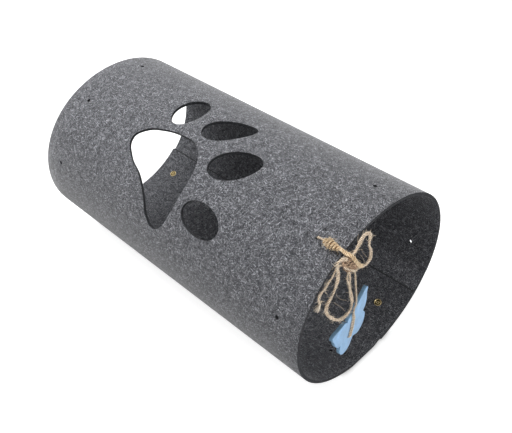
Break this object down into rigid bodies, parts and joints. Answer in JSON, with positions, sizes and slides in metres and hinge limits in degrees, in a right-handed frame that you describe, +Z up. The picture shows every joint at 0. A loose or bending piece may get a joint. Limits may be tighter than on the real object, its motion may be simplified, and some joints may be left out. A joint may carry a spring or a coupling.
{
  "type": "pet tunnel",
  "caption": "Felt pet tunnel with a paw-print cut-out, a lapped snap seam and a butterfly toy hung in its mouth on a twine bow.",
  "frame": {"origin": "on the floor plane, below the middle of the tube's length and of its upright middle plane", "axes": "+X along the tube towards the end with the toy, +Z up, +Y across, towards the side of the lapped seam"},
  "size_m": [0.5179, 0.272, 0.2395],
  "materials": {
    "grey_felt": "matte pressed felt, heathered grey outside, darker inside",
    "brass_press_stud": "plated press stud, satin",
    "jute_twine": "natural jute, fibrous",
    "blue_felt": "matte thick felt, blue"
  },
  "bodies": {
    "tunnel": {"felt_sheet": "grey_felt", "front_press_stud": "brass_press_stud", "front_press_eyelet": "brass_press_stud", "rear_press_stud": "brass_press_stud", "rear_press_eyelet": "brass_press_stud", "twine_rim_tie": "jute_twine", "twine_wrap": "jute_twine", "bow_knot": "jute_twine", "bow_upper_loop": "jute_twine", "bow_lower_loop": "jute_twine", "bow_tail": "jute_twine"},
    "seam_flap": {"felt_flap": "grey_felt", "front_press_cap": "brass_press_stud", "front_press_socket": "brass_press_stud", "rear_press_cap": "brass_press_stud", "rear_press_socket": "brass_press_stud"},
    "string_upper": {"toy_string_upper": "jute_twine"},
    "string_lower": {"toy_string_lower": "jute_twine"},
    "toy": {"butterfly": "blue_felt", "toy_tie": "jute_twine"}
  },
  "joints": [
    {"name": "flap_peel", "type": "hinge", "parent": "tunnel", "child": "seam_flap", "pos_m": [0, 0.10608, 0.04431], "axis": [1, 0, 0], "range_deg": [0, 35]},
    {"name": "string_swing_fore", "type": "hinge", "parent": "tunnel", "child": "string_upper", "pos_m": [0.2492, -0.0396, 0.1825], "axis": [0, 1, 0], "range_deg": [-40, 40]},
    {"name": "string_swing_side", "type": "hinge", "parent": "string_upper", "child": "string_lower", "pos_m": [0.25, -0.0349, 0.136], "axis": [1, 0, 0], "range_deg": [-15, 15]},
    {"name": "toy_twist", "type": "hinge", "parent": "string_lower", "child": "toy", "pos_m": [0.2509, -0.0388, 0.115], "axis": [0, 0, 1], "continuous": true}
  ]
}
